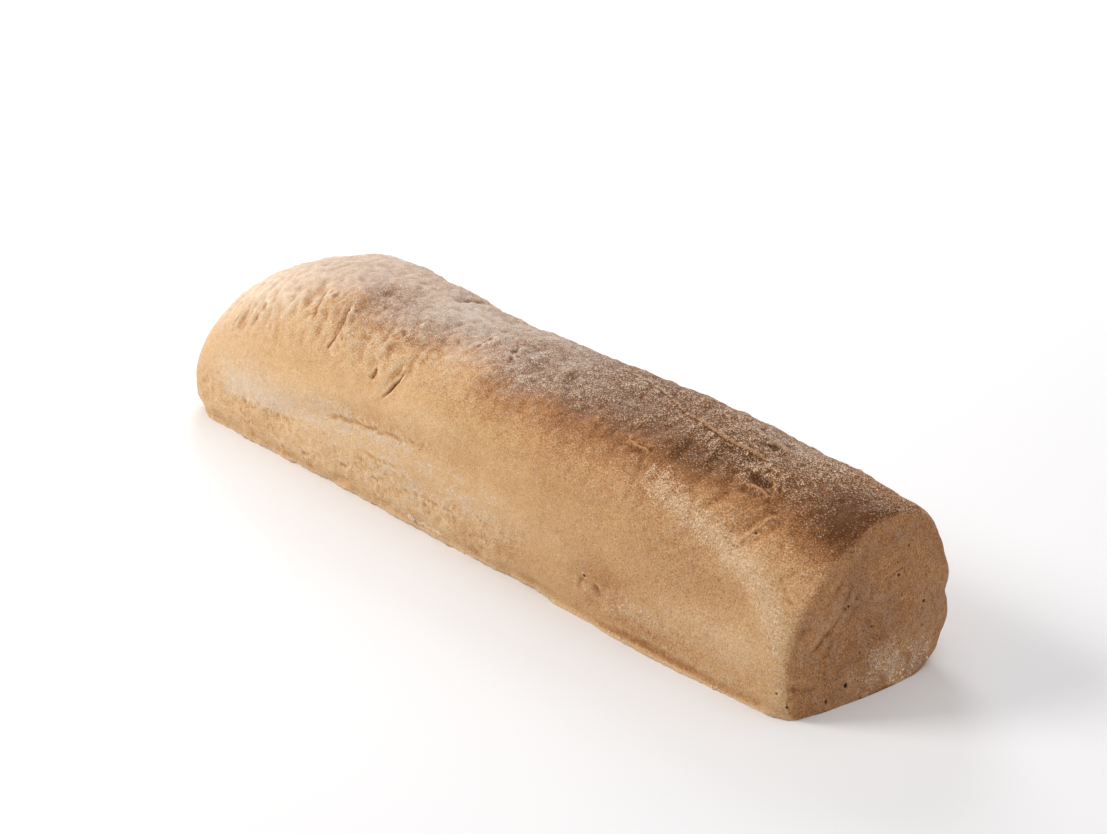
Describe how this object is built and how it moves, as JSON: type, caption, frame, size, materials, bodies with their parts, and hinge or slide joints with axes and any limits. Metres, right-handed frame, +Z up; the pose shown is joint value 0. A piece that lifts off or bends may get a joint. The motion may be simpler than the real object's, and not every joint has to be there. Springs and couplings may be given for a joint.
{
  "type": "ciabatta",
  "caption": "Long baked loaf of bread with a humped crown, one rounded end and one flat end, a creased floury crust and a flat foot to rest on.",
  "frame": {"origin": "middle of the loaf's box at the level of its flat foot", "axes": "+X along the loaf towards its flat end, -Y towards its front side, +Z up"},
  "size_m": [0.3328, 0.0792, 0.0651],
  "materials": {
    "crust": "matt baked crust dusted with flour"
  },
  "bodies": {
    "root": {"loaf": "crust"}
  },
  "joints": []
}
